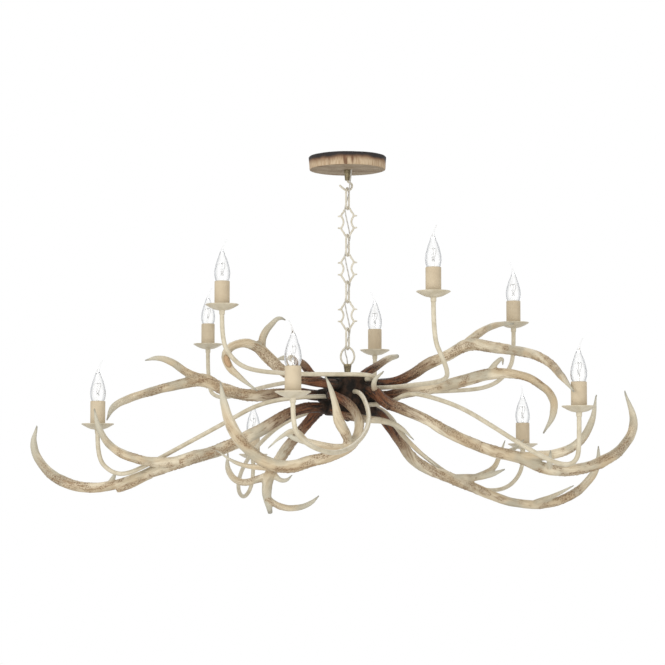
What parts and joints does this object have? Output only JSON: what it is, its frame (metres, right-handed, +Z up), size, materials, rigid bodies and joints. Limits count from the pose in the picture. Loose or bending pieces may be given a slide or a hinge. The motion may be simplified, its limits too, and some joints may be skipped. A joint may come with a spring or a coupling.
{
  "type": "antler chandelier",
  "caption": "Antler chandelier: candle lights on bent cream arms among forked antlers, round a dark hub, hung by a thorny chain from a wood-slice ceiling rose.",
  "frame": {"origin": "midpoint between the two slots of the ceiling strap, at the ceiling plane on the chain's axis", "axes": "+Z up; +X to the right as seen in the picture, -Y towards the viewer"},
  "size_m": [1.3473, 1.1342, 0.8158],
  "materials": {
    "plated_steel": "zinc-plated",
    "slice_wood": "raw, charred at the edge",
    "aged_brass": "aged",
    "cream_paint": "satin cream",
    "flex_sheath": "clear sheath over grey cores",
    "hub_paint": "matt near-black",
    "antler": "cast antler, brown roots and pale tips",
    "holder_plastic": "moulded",
    "sleeve_card": "matt cream",
    "cap_brass": "polished",
    "bulb_glass": "clear"
  },
  "bodies": {
    "ceiling": {"mounting_strap": "plated_steel", "ceiling_rose": "slice_wood", "canopy_tube": "plated_steel", "collar": "aged_brass", "hook": "cream_paint", "flex": "flex_sheath"},
    "link_1": {"plain_link_1": "cream_paint"},
    "link_2": {"thorny_link_1": "cream_paint"},
    "link_3": {"plain_link_2": "cream_paint"},
    "link_4": {"thorny_link_2": "cream_paint"},
    "link_5": {"plain_link_3": "cream_paint"},
    "link_6": {"thorny_link_3": "cream_paint"},
    "link_7": {"plain_link_4": "cream_paint"},
    "fixture": {"top_loop": "cream_paint", "hub_barrel": "hub_paint", "hub_lid": "hub_paint", "hub_washer": "hub_paint", "centre_rod": "plated_steel", "finial": "hub_paint", "antler_1": "antler", "antler_2": "antler", "antler_3": "antler", "antler_4": "antler", "antler_5": "antler", "antler_6": "antler", "antler_7": "antler", "antler_8": "antler", "antler_9": "antler", "antler_10": "antler", "antler_11": "antler", "antler_12": "antler", "arm_1": "cream_paint", "arm_2": "cream_paint", "arm_3": "cream_paint", "arm_4": "cream_paint", "arm_5": "cream_paint", "arm_6": "cream_paint", "arm_7": "cream_paint", "arm_8": "cream_paint", "arm_9": "cream_paint", "arm_10": "cream_paint", "drip_pans": "cream_paint", "lampholders": "holder_plastic", "candle_sleeves": "sleeve_card", "bulb_caps": "cap_brass", "bulb_1": "bulb_glass", "bulb_2": "bulb_glass", "bulb_3": "bulb_glass", "bulb_4": "bulb_glass", "bulb_5": "bulb_glass", "bulb_6": "bulb_glass", "bulb_7": "bulb_glass", "bulb_8": "bulb_glass", "bulb_9": "bulb_glass", "bulb_10": "bulb_glass"}
  },
  "joints": [
    {"name": "swing_1", "type": "hinge", "parent": "ceiling", "child": "link_1", "pos_m": [0, 0, -0.076], "axis": [1, 0, 0], "range_deg": [-5, 5], "deforming": ["flex"]},
    {"name": "swing_2", "type": "hinge", "parent": "link_1", "child": "link_2", "pos_m": [0, 0, -0.1197], "axis": [0.2588, 0.9659, 0], "range_deg": [-5, 5], "deforming": ["flex"]},
    {"name": "swing_3", "type": "hinge", "parent": "link_2", "child": "link_3", "pos_m": [0, 0, -0.1824], "axis": [0.9659, -0.2588, 0], "range_deg": [-5, 5], "deforming": ["flex"]},
    {"name": "swing_4", "type": "hinge", "parent": "link_3", "child": "link_4", "pos_m": [0, 0, -0.2261], "axis": [0.2588, 0.9659, 0], "range_deg": [-5, 5], "deforming": ["flex"]},
    {"name": "swing_5", "type": "hinge", "parent": "link_4", "child": "link_5", "pos_m": [0, 0, -0.2888], "axis": [0.9659, -0.2588, 0], "range_deg": [-5, 5], "deforming": ["flex"]},
    {"name": "swing_6", "type": "hinge", "parent": "link_5", "child": "link_6", "pos_m": [0, 0, -0.3325], "axis": [0.2588, 0.9659, 0], "range_deg": [-5, 5], "deforming": ["flex"]},
    {"name": "swing_7", "type": "hinge", "parent": "link_6", "child": "link_7", "pos_m": [0, 0, -0.3952], "axis": [0.9659, -0.2588, 0], "range_deg": [-5, 5], "deforming": ["flex"]},
    {"name": "swing_8", "type": "hinge", "parent": "link_7", "child": "fixture", "pos_m": [0, 0, -0.4389], "axis": [0.2588, 0.9659, 0], "range_deg": [-5, 5], "deforming": ["flex"]}
  ]
}
